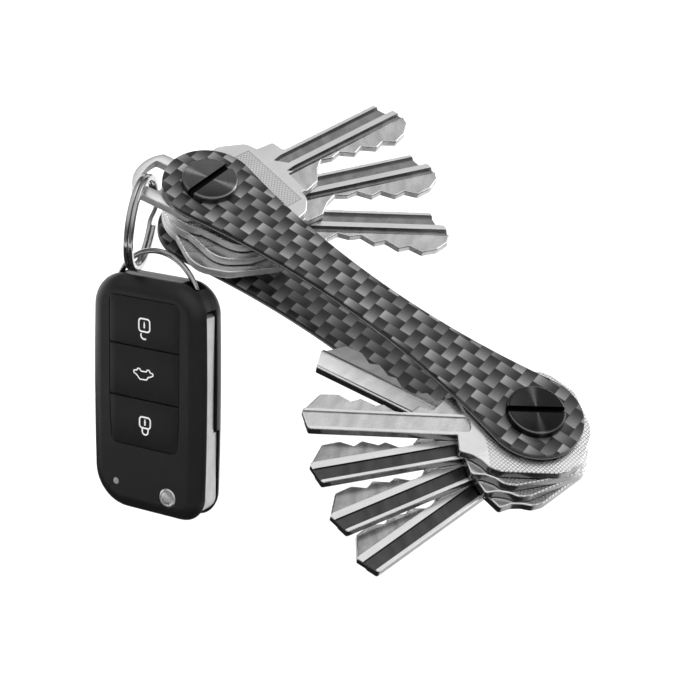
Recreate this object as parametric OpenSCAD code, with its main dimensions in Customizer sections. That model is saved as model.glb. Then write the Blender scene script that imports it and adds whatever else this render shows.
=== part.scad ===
// Key organiser: two slim plates joined by two screw posts, with keys that
// fold in between them, a loop tab, a split ring and a flip-key remote.
// Origin: midway between the posts, at mid thickness. +X points to the right
// post and +Z to the top plate.

/* [Plates] */
// Distance between the two posts
post_spacing = 82; // [81:0.5:86]
// Radius of the round plate ends
end_r = 9.6; // [9.2:0.1:9.8]
// Half width of the plates at the waist
waist_half = 4.8; // [4:0.1:6]
// Thickness of each plate
plate_t = 1.6; // [1:0.1:1.6]
// Clear height between the plates
stack_gap = 11.6; // [11.6:0.1:12]

/* [Screws and posts] */
// Radius of the screw heads
head_r = 5.7; // [5:0.1:5.8]
// Height of the screw heads
head_t = 1.6; // [1.4:0.1:1.8]
// Outer radius of the post sleeves
sleeve_r = 2.5; // [2.2:0.1:2.6]
// Radius of the screw shanks
shank_r = 1.5; // [1.2:0.1:1.6]
// Width of the screw slots
slot_w = 1.4; // [1:0.1:1.8]
// Depth of the screw slots
slot_depth = 0.9; // [0.5:0.1:1]
// Turn of the left screw's slot
left_slot_turn = 88.6; // [0:0.1:180]
// Turn of the right screw's slot
right_slot_turn = 43.3; // [0:0.1:180]

/* [Keys] */
// Thickness of a key
key_t = 2; // [1.8:0.1:2]
// Height from one key to the next
level_pitch = 2.32; // [2.3:0.01:2.4]
// Directions of the left keys, from the top level down
left_key_turns = [79.7, 62.5, 44.3]; // [40:0.1:120]
// Directions of the right keys on the four upper levels
right_key_turns = [222.1, 236.3, 249.6, 261.3]; // [200:0.1:300]
// Direction of the right key on the lowest level
low_key_turn = 192.2; // [188:0.1:300]

/* [Loop tab and ring] */
// Turn of the loop tab from the line of the posts
tab_turn = 12.4; // [5:0.1:20]
// Mean radius of the split ring
ring_mean_r = 9.4; // [9.2:0.1:9.6]
// Width of the ring's two coils together
ring_w = 1.9; // [1.6:0.1:2]
// Radial thickness of the ring's wire
ring_wire = 1.3; // [1:0.1:1.4]

/* [Remote] */
// Width of the remote
fob_w = 28.6; // [28:0.2:29]
// Depth of the remote, front to back
fob_d = 9.4; // [9.2:0.1:9.6]
// Height of the remote
fob_h = 50.8; // [50.4:0.1:51.2]
// Corner radius of the remote's outline
fob_corner = 6.4; // [6:0.1:6.6]
// Rounding of the remote's edges
fob_edge = 2.6; // [1.5:0.1:2.8]
// Height of the bail's arch over the remote
bail_rise = 5.2; // [5:0.1:5.6]

/* [Hidden] */
$fn = 64;

post_x = post_spacing / 2;
half_gap = stack_gap / 2;
plate_top = half_gap + plate_t;
head_top = plate_top + head_t;
fit = 0.05;
sleeve_hole = sleeve_r + fit;
// a concave side arc that is tangent to both round ends
side_r = (post_x * post_x + waist_half * waist_half - end_r * end_r) / (2 * (end_r - waist_half));
// the side arcs stop just short of the tangent points
side_x = post_x * side_r / (side_r + end_r) - 0.5;
head_bevel = 0.45;
level_gap = (stack_gap - 5 * key_t) / 2 - 2 * (level_pitch - key_t);

// loop tab, in its own frame: post at the origin, +X from the loop to the post
tab_left = -15.1;
tab_corner = -12.6;
tab_low = -8.75;
tab_high = 3.6;
tab_bar = 2.6;
slot_left = -13.55;
slot_right = -8.2;
slot_arc_r = 9;
hub_r = 6.4;
bar_x = -10.95;
bar_y = tab_low + tab_bar / 2;

// the ring hangs round the tab's lower bar
ring_turn = [82.4, 22.3, 114.1];
ring_drop = 6.6;
bar_point = [-post_x + turned([bar_x, bar_y, 0], [0, 0, tab_turn])[0],
             turned([bar_x, bar_y, 0], [0, 0, tab_turn])[1],
             level_z(1) + key_t / 2];
ring_centre = bar_point + turned([0, -ring_drop, 0], ring_turn);
ring_bottom = ring_centre + turned([0, -ring_mean_r, 0], ring_turn);

// the remote's own frame: +X its width, +Y from front to back, +Z up, origin at its top
fob_turn = [-27.6, -23.3, 10.7];
ring_in_fob = [-4.7, 0, 1.75];
fob_origin = ring_bottom - turned(ring_in_fob, fob_turn);
front = -fob_d / 2;
back = fob_d / 2;
wall = 1.2;
inner_front = front + wall;
inner_back = back - wall;

bail_wire = 0.6;
bail_half = 10;
bail_pivot_z = -2.2;
bail_h = bail_rise - bail_pivot_z;
bail_r = (bail_half * bail_half + bail_h * bail_h) / (2 * bail_h);
bail_angle = asin(bail_half / bail_r);
bail_pin_end = 5.9;
bail_slot_in = 7.6;
bail_slot_out = 11;
bail_slot_half = 1.8;

pivot = [6, 0, 5 - fob_h];
hub_blade_r = 3.3;
pocket_front = -2.2;
pocket_back = 1.2;
root_back = 2;
root_top = -31;
blade_in = 6.5;
blade_out = 13.7;
blade_tip = -5.8;
blade_play = 0.2;

panel_half = 8.9;
panel_rows = [-3.9, -14.3, -25.5, -36];
panel_gap = 0.12;
button_t = 1;
button_lip = 0.5;
stem_r = 1.1;
board_front = -1.9;
board_t = 0.8;
battery_r = 7.6;
led_r = 0.75;
led_x = -7.4;
led_z = -44.7;
release_r = 2.1;
case_screw_x = -8.8;
case_screw_z = -42.6;

// turn a vector about X, then Y, then Z
function about_x(v, a) = [v[0], v[1] * cos(a) - v[2] * sin(a), v[1] * sin(a) + v[2] * cos(a)];
function about_y(v, a) = [v[0] * cos(a) + v[2] * sin(a), v[1], v[2] * cos(a) - v[0] * sin(a)];
function about_z(v, a) = [v[0] * cos(a) - v[1] * sin(a), v[0] * sin(a) + v[1] * cos(a), v[2]];
function turned(v, a) = about_z(about_y(about_x(v, a[0]), a[1]), a[2]);

// underside of a level, counted from the top plate down
function level_z(level) = half_gap - level_gap - key_t - (level - 1) * level_pitch;

// points of an arc in the plane
function arc(c, r, a0, a1, steps) =
    [for (i = [0 : steps]) c + r * [cos(a0 + (a1 - a0) * i / steps), sin(a0 + (a1 - a0) * i / steps)]];

module in_fob() {
    translate(fob_origin)
        rotate(fob_turn)
            children();
}

// a helical spring along +Z from z = 0 to z = length
module coil_spring(r, wire, turns, length) {
    sides = 8;
    per_turn = 16;
    steps = turns * per_turn;
    rise = length - 2 * wire;
    function ring_point(i, k) =
        let (a = 360 * i / per_turn, b = 360 * k / sides, rr = r + wire * cos(b))
        [rr * cos(a), rr * sin(a), wire + rise * i / steps + wire * sin(b)];
    points = [for (i = [0 : steps]) for (k = [0 : sides - 1]) ring_point(i, k)];
    quads = [for (i = [0 : steps - 1]) for (k = [0 : sides - 1])
        [i * sides + k, i * sides + (k + 1) % sides,
         (i + 1) * sides + (k + 1) % sides, (i + 1) * sides + k]];
    start_cap = [[for (k = [0 : sides - 1]) sides - 1 - k]];
    end_cap = [[for (k = [0 : sides - 1]) steps * sides + k]];
    polyhedron(points = points, faces = concat(start_cap, quads, end_cap), convexity = 10);
}

// ---- plates ----

module plate_outline() {
    difference() {
        union() {
            for (s = [-1, 1])
                translate([s * post_x, 0])
                    circle(r = end_r);
            difference() {
                square([2 * side_x, 2 * end_r], center = true);
                for (s = [-1, 1])
                    translate([0, s * (waist_half + side_r)])
                        circle(r = side_r, $fn = 360);
            }
        }
        for (s = [-1, 1])
            translate([s * post_x, 0])
                circle(r = sleeve_hole);
    }
}

module top_plate() {
    color("dimgray")
        translate([0, 0, half_gap])
            linear_extrude(plate_t)
                plate_outline();
}

module bottom_plate() {
    color("dimgray")
        translate([0, 0, -plate_top])
            linear_extrude(plate_t)
                plate_outline();
}

// ---- screws, posts and spacer ----

module bevelled_head() {
    rotate_extrude()
        polygon([[0, 0], [head_r, 0], [head_r, head_t - head_bevel], [head_r - head_bevel, head_t], [0, head_t]]);
}

module screw(slot_turn) {
    shank_length = 2 * plate_top - 2;
    difference() {
        translate([0, 0, plate_top])
            bevelled_head();
        translate([0, 0, head_top - slot_depth + head_t / 2])
            rotate(slot_turn)
                cube([2 * head_r + 1, slot_w, head_t], center = true);
    }
    translate([0, 0, plate_top - shank_length])
        cylinder(r = shank_r, h = shank_length);
}

module left_screw() {
    color("black")
        translate([-post_x, 0, 0])
            screw(left_slot_turn);
}

module right_screw() {
    color("black")
        translate([post_x, 0, 0])
            screw(right_slot_turn);
}

module post() {
    sleeve_top = plate_top - 0.1;
    difference() {
        union() {
            translate([0, 0, -plate_top])
                mirror([0, 0, 1])
                    bevelled_head();
            translate([0, 0, -plate_top])
                cylinder(r = sleeve_r, h = plate_top + sleeve_top);
        }
        translate([0, 0, -plate_top + 0.6])
            cylinder(r = shank_r + fit, h = 2 * plate_top);
    }
}

module left_post() {
    color("gray")
        translate([-post_x, 0, 0])
            post();
}

module right_post() {
    color("gray")
        translate([post_x, 0, 0])
            post();
}

module left_spacer() {
    color("silver")
        translate([-post_x, 0, level_z(5)])
            difference() {
                cylinder(r = hub_r, h = key_t);
                translate([0, 0, -1])
                    cylinder(r = sleeve_hole, h = key_t + 2);
            }
}

// ---- loop tab ----

module tab_outline() {
    mid_y = (tab_low + tab_high) / 2;
    half = (tab_high - tab_low) / 2;
    bulge = tab_corner - tab_left;
    arc_r = (half * half + bulge * bulge) / (2 * bulge);
    arc_half = asin(half / arc_r);
    difference() {
        union() {
            polygon(concat(
                arc([tab_left + arc_r, mid_y], arc_r, 180 - arc_half, 180 + arc_half, 20),
                [[0, tab_low], [4.5, tab_low + 4.2], [4.5, tab_high]]));
            circle(r = hub_r);
        }
        circle(r = sleeve_hole);
        tab_slot();
    }
}

// the loop's opening: straight bars on both sides, an arc at the outer end
module tab_slot() {
    low = tab_low + tab_bar;
    high = tab_high - tab_bar + 0.1;
    mid_y = (low + high) / 2;
    offset(r = 0.5)
        offset(delta = -0.5)
            intersection() {
                translate([slot_left, low])
                    square([slot_right - slot_left, high - low]);
                translate([slot_left + slot_arc_r, mid_y])
                    circle(r = slot_arc_r);
            }
}

module loop_tab() {
    color("gainsboro")
        translate([-post_x, 0, level_z(1)])
            rotate(tab_turn)
                linear_extrude(key_t)
                    tab_outline();
}

// ---- keys, each with its hole at the origin and its tip towards +X ----

module right_key_bow() {
    offset(r = 1)
        offset(delta = -1)
            polygon([[7.9, 13.8], [-3.6, 12.7], [-8.6, 8.8], [-11.7, 1.7], [-9.3, -7.2],
                     [-3.9, -11.8], [6.5, -12], [11.5, -8.2], [14.2, -5], [14.2, 8.9]]);
}

module right_key_blade() {
    polygon([[9, 5.5], [14.6, 8], [16.8, 4.2], [42.9, 4.2], [44, -0.1], [40.4, -4.3], [36.9, -4.4],
             [34.5, -2.9], [32.7, -3.7], [29.9, -2.2], [28.4, -2.6], [25.6, -0.5], [23.6, -0.9],
             [21.6, -2.6], [19.2, -1.7], [16.4, -4.6], [13, -6.2], [9, -6.2]]);
}

module right_key() {
    band_low = -0.5;
    band_high = 2.5;
    land_depth = 0.55;
    line_depth = 0.3;
    difference() {
        union() {
            linear_extrude(key_t)
                right_key_bow();
            linear_extrude(key_t)
                right_key_blade();
        }
        translate([0, 0, -1])
            cylinder(r = sleeve_hole, h = key_t + 2);
        // the bitting side is milled down from a pointed start
        translate([0, 0, key_t - land_depth])
            linear_extrude(1)
                polygon([[14.4, band_low], [18, -9], [50, -9], [50, band_low]]);
        // narrow line beside the spine
        translate([16.8, band_high, key_t - line_depth])
            cube([40, 0.35, 1]);
        // groove on the underside
        translate([15.5, -0.2, -1 + line_depth])
            linear_extrude(1)
                polygon([[0, 1], [2, 0], [40, 0], [40, 2.2], [2, 2.2]]);
    }
}

module left_key_bow() {
    offset(r = 1.4)
        offset(delta = -1.4)
            polygon(concat([[-3.2, -14.6], [4, -16.2], [14.6, -14.2], [17.4, -11.2], [18, 4],
                            [16.4, 8], [11, 10.4], [4, 10]],
                           arc([0, 0], 9, 110, 225, 12)));
}

module left_key_blade() {
    polygon([[12, 5.8], [21.5, 5.2], [22, 2.2], [47.6, 2.2], [48.6, -0.6], [50.2, -1.4], [51, -3.9],
             [50.4, -5.8], [48, -7.8], [44.6, -8.7], [42.2, -7.1], [39.8, -7.8], [37.2, -5.7],
             [34.8, -6.5], [32.2, -4.4], [29.8, -4.9], [27.3, -4.1], [24.8, -5.8], [22.6, -8.5],
             [19, -9.4], [12, -9.4]]);
}

module left_key() {
    channel_depth = 0.7;
    land_depth = 0.45;
    difference() {
        union() {
            linear_extrude(key_t)
                left_key_bow();
            linear_extrude(key_t)
                left_key_blade();
        }
        translate([0, 0, -1])
            cylinder(r = sleeve_hole, h = key_t + 2);
        // two long channels, pointed where the cutter starts
        translate([0, 0, key_t - channel_depth])
            linear_extrude(1)
                polygon([[18.4, 1], [20.4, 1.3], [60, 1.3], [60, -1.3], [20.4, -1.3]]);
        translate([0, 0, key_t - channel_depth])
            linear_extrude(1)
                polygon([[18.6, -2.7], [21, -2.7], [60, -2.7], [60, -3.9], [20, -3.9]]);
        // the bitting side is milled down from a square start
        translate([18.4, -12, key_t - land_depth])
            cube([40, 8.2, 1]);
        // groove on the underside, below the ridge
        translate([19, -3.6, -1 + channel_depth])
            cube([40, 1.9, 1]);
    }
}

module placed_left_key(i) {
    color("silver")
        translate([-post_x, 0, level_z(i + 1)])
            rotate(left_key_turns[i - 1])
                left_key();
}

module placed_right_key(i, turn) {
    color("silver")
        translate([post_x, 0, level_z(i)])
            rotate(turn)
                right_key();
}

module key_left_1() { placed_left_key(1); }
module key_left_2() { placed_left_key(2); }
module key_left_3() { placed_left_key(3); }
module key_right_1() { placed_right_key(1, right_key_turns[0]); }
module key_right_2() { placed_right_key(2, right_key_turns[1]); }
module key_right_3() { placed_right_key(3, right_key_turns[2]); }
module key_right_4() { placed_right_key(4, right_key_turns[3]); }
module key_right_5() { placed_right_key(5, low_key_turn); }

// ---- ring and bail ----

module split_ring() {
    // two flat coils side by side, with rounded shoulders and a seam between them
    half_r = ring_wire / 2;
    soft = 0.3;
    seam = 0.2;
    w = ring_w / 2;
    color("silver")
        translate(ring_centre)
            rotate(ring_turn)
                rotate_extrude($fn = 96)
                    polygon([[ring_mean_r - half_r, -w + soft], [ring_mean_r - half_r + soft, -w],
                             [ring_mean_r + half_r - soft, -w], [ring_mean_r + half_r, -w + soft],
                             [ring_mean_r + half_r, -seam], [ring_mean_r + half_r - seam, 0],
                             [ring_mean_r + half_r, seam], [ring_mean_r + half_r, w - soft],
                             [ring_mean_r + half_r - soft, w], [ring_mean_r - half_r + soft, w],
                             [ring_mean_r - half_r, w - soft], [ring_mean_r - half_r, seam],
                             [ring_mean_r - half_r + seam, 0], [ring_mean_r - half_r, -seam]]);
}

module fob_bail() {
    color("silver")
        in_fob() {
            translate([0, 0, bail_rise - bail_r])
                rotate([90, 0, 0])
                    rotate(90 - bail_angle)
                        rotate_extrude(angle = 2 * bail_angle, $fn = 96)
                            translate([bail_r, 0])
                                circle(r = bail_wire);
            for (s = [-1, 1]) {
                translate([s * bail_half, 0, bail_pivot_z])
                    sphere(r = bail_wire + 0.08);
                translate([s * (bail_half + bail_pin_end) / 2, 0, bail_pivot_z])
                    rotate([0, 90, 0])
                        cylinder(r = bail_wire, h = bail_half - bail_pin_end, center = true);
            }
        }
}

// ---- remote: case ----

// a disc with rounded rims, from the front to the back
module rim_disc(r) {
    e = fob_edge;
    rotate([90, 0, 0])
        rotate_extrude($fn = 36)
            polygon(concat([[0, front]],
                           arc([r - e, front + e], e, -90, 0, 6),
                           arc([r - e, back - e], e, 0, 90, 6),
                           [[0, back]]));
}

module fob_form() {
    x = fob_w / 2 - fob_corner;
    hull() {
        translate([-x, 0, -fob_corner])
            rim_disc(fob_corner);
        translate([x, 0, -fob_corner])
            rim_disc(fob_corner);
        translate([-x, 0, fob_corner - fob_h])
            rim_disc(fob_corner);
        translate([x + 1, 0, fob_corner - 1 - fob_h])
            rim_disc(fob_corner - 1);
    }
}

// everything that the two shells leave free between them
module fob_hollow() {
    // circuit board and battery
    translate([-fob_w / 2 + wall + 0.6, inner_front, panel_rows[3] - 3])
        cube([fob_w / 2 + 5, inner_back - inner_front, -panel_rows[3] + 3 - 4.6]);
    // folded blade, open along the right side
    translate([blade_in - blade_play, pocket_front, pivot[2]])
        cube([20, pocket_back - pocket_front, blade_tip + 0.6 - pivot[2]]);
    translate([blade_in - blade_play, pocket_front, pivot[2]])
        cube([20, root_back - pocket_front + blade_play, root_top - pivot[2]]);
    // blade root, open along the bottom
    translate([pivot[0] - blade_out + blade_in - 0.8, pocket_front, -fob_h - 1])
        cube([40, root_back - pocket_front + 1.5 * blade_play, pivot[2] + hub_blade_r + 1 + fob_h + 0.4]);
    // room for the torsion spring behind the blade root
    translate([pivot[0], 0, pivot[2]])
        rotate([-90, 0, 0])
            cylinder(r = 2.4, h = inner_back);
    // slots and bores of the bail
    for (s = [-1, 1]) {
        translate([s * (bail_slot_in + bail_slot_out) / 2, 0, bail_pivot_z - 0.9 + 3])
            cube([bail_slot_out - bail_slot_in, 2 * bail_slot_half, 6], center = true);
        translate([s * 7, 0, bail_pivot_z])
            rotate([0, 90, 0])
                cylinder(r = bail_wire + fit, h = 2.6, center = true);
    }
}

module front_half() {
    translate([-fob_w, front - 1, -fob_h - 1])
        cube([2 * fob_w, -front + 1, fob_h + 2]);
}

module back_half() {
    translate([-fob_w, 0, -fob_h - 1])
        cube([2 * fob_w, back + 1, fob_h + 2]);
}

module fob_front_shell() {
    color([0.1, 0.1, 0.1])
        in_fob()
            difference() {
                intersection() {
                    fob_form();
                    front_half();
                }
                fob_hollow();
                // opening of the button panel
                translate([-panel_half, front - 1, panel_rows[3]])
                    cube([2 * panel_half, wall + 2, panel_rows[0] - panel_rows[3]]);
                // release button
                translate([pivot[0], 0, pivot[2]])
                    rotate([90, 0, 0])
                        cylinder(r = release_r + fit, h = fob_d);
                // room for the release button's flange
                translate([pivot[0], pocket_front + 1, pivot[2]])
                    rotate([90, 0, 0])
                        cylinder(r = release_r + 0.6, h = pocket_front - inner_front + 1);
                translate([led_x, 0, led_z])
                    rotate([90, 0, 0])
                        cylinder(r = led_r + 0.02, h = fob_d);
                // case screw
                translate([case_screw_x, 1, case_screw_z])
                    rotate([90, 0, 0])
                        cylinder(r = 0.75, h = 3.6);
            }
}

module fob_back_shell() {
    color([0.09, 0.09, 0.09])
        in_fob()
            difference() {
                intersection() {
                    fob_form();
                    back_half();
                }
                fob_hollow();
                // seat of the blade pivot
                translate([pivot[0], 0, pivot[2]])
                    rotate([-90, 0, 0])
                        cylinder(r = 1.02, h = back - 0.5);
                // case screw and its countersink
                translate([case_screw_x, -1, case_screw_z])
                    rotate([-90, 0, 0])
                        cylinder(r = 0.75, h = fob_d);
                translate([case_screw_x, inner_back, case_screw_z])
                    rotate([-90, 0, 0])
                        cylinder(r = 1.6, h = 3);
            }
}

// ---- remote: buttons ----

// one rubber button: cap in the panel opening, lip and stem behind it
module panel_button(row) {
    high = panel_rows[row] - panel_gap;
    low = panel_rows[row + 1] + panel_gap;
    mid = (high + low) / 2;
    color([0.13, 0.13, 0.13])
        in_fob() {
            translate([-panel_half + panel_gap, front, low])
                cube([2 * (panel_half - panel_gap), button_t + 0.3, high - low]);
            translate([-2, board_front - 1, mid])
                rotate([90, 0, 0])
                    cylinder(r = stem_r, h = 1);
        }
}

module fob_unlock_button() { panel_button(0); }
module fob_boot_button() { panel_button(1); }
module fob_lock_button() { panel_button(2); }

module fob_release_button() {
    color("gainsboro")
        in_fob()
            translate([pivot[0], 0, pivot[2]])
                rotate([90, 0, 0]) {
                    translate([0, 0, -inner_front - 0.05])
                        cylinder(r = release_r, h = wall + 0.25);
                    translate([0, 0, -inner_front - 0.55])
                        cylinder(r = release_r + 0.5, h = button_lip);
                }
}

module fob_release_spring() {
    color("silver")
        in_fob()
            translate([pivot[0], -0.65, pivot[2]])
                rotate([90, 0, 0])
                    coil_spring(0.85, 0.14, 4, 1.5);
}

module fob_led_lens() {
    color("lightgray")
        in_fob()
            translate([led_x, inner_front + 0.3, led_z])
                rotate([90, 0, 0])
                    cylinder(r = led_r, h = wall + 0.3);
}

// ---- remote: inside ----

module fob_circuit_board() {
    color("darkgreen")
        in_fob() {
            difference() {
                translate([-11.4, board_front, panel_rows[3] - 2.6])
                    cube([16.6, board_t, -panel_rows[3] + 2.6 - 5.2]);
                translate([-9.4, 0, -7])
                    rotate([90, 0, 0])
                        cylinder(r = 0.8, h = 4);
            }
            // one dome switch behind each button
            for (row = [0 : 2])
                translate([-2, board_front, (panel_rows[row] + panel_rows[row + 1]) / 2])
                    rotate([90, 0, 0])
                        cylinder(r = 1.9, h = 0.5);
        }
}

module fob_battery() {
    color("lightsteelblue")
        in_fob()
            translate([-3.2, board_front + board_t + 2.6, -24])
                rotate([90, 0, 0]) {
                    cylinder(r = battery_r, h = 1.6);
                    translate([0, 0, 1.6])
                        cylinder(r = battery_r - 1.2, h = 0.8);
                }
}

// the folding blade: a slab beside the pivot, on a round root
module fob_blade() {
    hub_front = pocket_front + blade_play;
    color("silver")
        in_fob()
            difference() {
                union() {
                    translate([pivot[0], root_back, pivot[2]])
                        rotate([90, 0, 0])
                            cylinder(r = hub_blade_r, h = root_back - hub_front);
                    translate([0, root_back, 0])
                        rotate([90, 0, 0])
                            linear_extrude(root_back - hub_front)
                                polygon([[blade_in, pivot[2]], [pivot[0], pivot[2] - hub_blade_r],
                                         [pivot[0] + 3.4, pivot[2] - 2.6], [blade_out - 0.9, pivot[2] + 1.4],
                                         [blade_out, pivot[2] + 4], [blade_out, root_top - 0.4],
                                         [blade_in, root_top - 0.4]]);
                    translate([0, pocket_back - blade_play, 0])
                        rotate([90, 0, 0])
                            linear_extrude(pocket_back - blade_play - hub_front)
                                polygon([[blade_in, root_top - 1], [blade_out, root_top - 1],
                                         [blade_out, blade_tip - 0.8], [blade_out - 0.8, blade_tip],
                                         [blade_in + 3, blade_tip], [blade_in, blade_tip - 3]]);
                }
                translate([pivot[0], fob_d, pivot[2]])
                    rotate([90, 0, 0])
                        cylinder(r = 1.05, h = 2 * fob_d);
                // counterbore of the release spring
                translate([pivot[0], -0.6, pivot[2]])
                    rotate([90, 0, 0])
                        cylinder(r = 1.3, h = fob_d);
                // milled channel of the blade, on both faces
                for (y = [hub_front - 1 + 0.5, pocket_back - blade_play - 0.5])
                    translate([blade_in + 2.2, y, root_top + 3])
                        cube([2, 1, 40]);
            }
}

module fob_blade_pivot() {
    color("silver")
        in_fob()
            translate([pivot[0], back - 0.55, pivot[2]])
                rotate([90, 0, 0])
                    cylinder(r = 1, h = back - 0.55 + 0.55);
}

module fob_blade_spring() {
    color("silver")
        in_fob()
            translate([pivot[0], inner_back - 0.1, pivot[2]])
                rotate([90, 0, 0])
                    coil_spring(1.7, 0.16, 2, inner_back - 0.1 - root_back - blade_play);
}

module fob_case_screw() {
    color("gray")
        in_fob()
            difference() {
                union() {
                    translate([case_screw_x, back - 0.4, case_screw_z])
                        rotate([90, 0, 0])
                            cylinder(r = 1.5, h = 0.8);
                    translate([case_screw_x, back - 0.5, case_screw_z])
                        rotate([90, 0, 0])
                            cylinder(r = 0.7, h = 5.6);
                }
                translate([case_screw_x - 2, back - 0.8, case_screw_z - 0.2])
                    cube([4, 1, 0.4]);
            }
}

top_plate();
bottom_plate();
left_screw();
right_screw();
left_post();
right_post();
left_spacer();
loop_tab();
key_left_1();
key_left_2();
key_left_3();
key_right_1();
key_right_2();
key_right_3();
key_right_4();
key_right_5();
split_ring();
fob_bail();
fob_front_shell();
fob_back_shell();
fob_unlock_button();
fob_boot_button();
fob_lock_button();
fob_release_button();
fob_release_spring();
fob_led_lens();
fob_circuit_board();
fob_battery();
fob_blade();
fob_blade_pivot();
fob_blade_spring();
fob_case_screw();
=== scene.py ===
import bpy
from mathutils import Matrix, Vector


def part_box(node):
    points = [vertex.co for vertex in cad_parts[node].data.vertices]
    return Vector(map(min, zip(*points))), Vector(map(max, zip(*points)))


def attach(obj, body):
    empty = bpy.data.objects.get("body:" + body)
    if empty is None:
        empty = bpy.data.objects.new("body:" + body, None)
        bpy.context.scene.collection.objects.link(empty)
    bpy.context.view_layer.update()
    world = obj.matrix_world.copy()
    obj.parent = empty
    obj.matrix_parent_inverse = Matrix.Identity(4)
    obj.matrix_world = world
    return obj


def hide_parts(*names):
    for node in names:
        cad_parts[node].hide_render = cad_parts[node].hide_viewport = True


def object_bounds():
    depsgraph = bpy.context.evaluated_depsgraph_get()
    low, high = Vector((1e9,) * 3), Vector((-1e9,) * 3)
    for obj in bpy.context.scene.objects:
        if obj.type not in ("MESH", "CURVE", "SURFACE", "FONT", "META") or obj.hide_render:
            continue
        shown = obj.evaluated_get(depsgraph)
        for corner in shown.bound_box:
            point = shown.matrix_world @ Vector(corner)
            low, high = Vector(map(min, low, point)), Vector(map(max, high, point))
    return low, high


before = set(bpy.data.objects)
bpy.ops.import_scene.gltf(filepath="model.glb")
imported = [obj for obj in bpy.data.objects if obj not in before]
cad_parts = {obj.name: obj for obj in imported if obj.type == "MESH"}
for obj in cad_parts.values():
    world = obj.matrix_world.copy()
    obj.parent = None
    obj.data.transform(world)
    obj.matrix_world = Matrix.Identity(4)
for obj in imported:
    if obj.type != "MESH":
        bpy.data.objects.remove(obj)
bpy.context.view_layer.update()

import math

import bmesh
import bpy
import numpy as np
from mathutils import Euler, Matrix, Vector, geometry

# Lengths are in millimetres, and pieces become metres as they are built. The sizes of the lights and of the
# dark cards, and everything in floor() and backdrop(), are in metres.
MM = 0.001

POST_X = 41.0
PLATE_T = 1.6
PLATE_LOW = 5.8
KEY_T = 2.0
HEAD_R, HEAD_T = 5.7, 1.6
BORE_R = 2.6
SCREW_BORE_R = 2.55


# -------- placing

def placed(location, angles):
    """A frame turned about X, then Y, then Z, and moved to a location."""
    turn = Euler([math.radians(a) for a in angles], "XYZ").to_matrix().to_4x4()
    return Matrix.Translation(Vector(location)) @ turn


def node_low(node):
    """Height of the underside of a CAD node, in mm."""
    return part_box(node)[0].z / MM


FOB = placed((-40.7109, -14.1382, -9.5986), (-27.6, -23.3, 10.7))
RING = placed((-48.2843, -11.5372, -1.4127), (82.4, 22.3, 114.1))
TAB = placed((-POST_X, 0, node_low("loop_tab")), (0, 0, 12.4))


# -------- plane outlines

def arc(cx, cy, r, a0, a1, step=6.0):
    """Points of an arc, both ends included."""
    n = max(1, math.ceil(abs(a1 - a0) / step))
    return [(cx + r * math.cos(math.radians(a0 + (a1 - a0) * i / n)),
             cy + r * math.sin(math.radians(a0 + (a1 - a0) * i / n))) for i in range(n + 1)]


def circle(cx, cy, r, step=6.0):
    return arc(cx, cy, r, 0, 360, step)[:-1]


def rectangle(x0, y0, x1, y1):
    return [(x0, y0), (x1, y0), (x1, y1), (x0, y1)]


def rounded(points, radii, step=10.0):
    """A closed polygon with its corners rounded. radii is one radius, or one per corner."""
    if not isinstance(radii, (list, tuple)):
        radii = [radii] * len(points)
    out = []
    for i, p in enumerate(points):
        a, b, c = Vector(points[i - 1]), Vector(p), Vector(points[(i + 1) % len(points)])
        u, v = (a - b), (c - b)
        lu, lv = u.length, v.length
        u.normalize()
        v.normalize()
        half = u.angle(v) / 2
        r = radii[i]
        if r <= 0 or half > math.radians(88):
            out.append(tuple(b))
            continue
        reach = min(r / math.tan(half), 0.48 * lu, 0.48 * lv)
        r = reach * math.tan(half)
        centre = b + (u + v).normalized() * (r / math.sin(half))
        start = b + u * reach - centre
        end = b + v * reach - centre
        a0 = math.atan2(start.y, start.x)
        turn = (math.atan2(end.y, end.x) - a0 + math.pi) % (2 * math.pi) - math.pi
        n = max(1, math.ceil(abs(math.degrees(turn)) / step))
        for k in range(n + 1):
            t = a0 + turn * k / n
            out.append((centre.x + r * math.cos(t), centre.y + r * math.sin(t)))
    return out


def heading(points, k):
    """The direction of an open line at its point k."""
    return (Vector(points[min(len(points) - 1, k + 1)]) - Vector(points[max(0, k - 1)])).normalized()


def inset(loop, d):
    """A closed loop moved by d to its left, by its corners' bisectors."""
    out = []
    n = len(loop)
    for i in range(n):
        a, b, c = Vector(loop[i - 1]), Vector(loop[i]), Vector(loop[(i + 1) % n])
        e0, e1 = (b - a).normalized(), (c - b).normalized()
        n0, n1 = Vector((-e0.y, e0.x)), Vector((-e1.y, e1.x))
        m = n0 + n1
        if m.length < 1e-6:
            m = n0.copy()
        m.normalize()
        out.append(tuple(b + m * (d / max(0.4, m.dot(n0)))))
    return out


def area(loop):
    return 0.5 * sum(loop[i - 1][0] * p[1] - p[0] * loop[i - 1][1] for i, p in enumerate(loop))


def facing(loop, sign):
    return list(loop) if area(loop) * sign > 0 else list(reversed(loop))


def inside(points, loop):
    """For each point, whether it is inside a closed loop."""
    x, y = points[:, 0], points[:, 1]
    found = np.zeros(len(points), bool)
    for i, (x1, y1) in enumerate(loop):
        x0, y0 = loop[i - 1]
        if y0 == y1:
            continue
        crosses = (y0 > y) != (y1 > y)
        found ^= crosses & (x < (x1 - x0) * (y - y0) / (y1 - y0) + x0)
    return found


def distance(points, loop):
    """For each point, how far it is from a closed loop."""
    best = np.full(len(points), 1e9)
    p = np.asarray(loop, float)
    for i in range(len(p)):
        a, b = p[i - 1], p[i]
        d = b - a
        t = np.clip(((points - a) @ d) / max(d @ d, 1e-12), 0, 1)
        best = np.minimum(best, np.linalg.norm(points - a - t[:, None] * d, axis=1))
    return best


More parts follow.
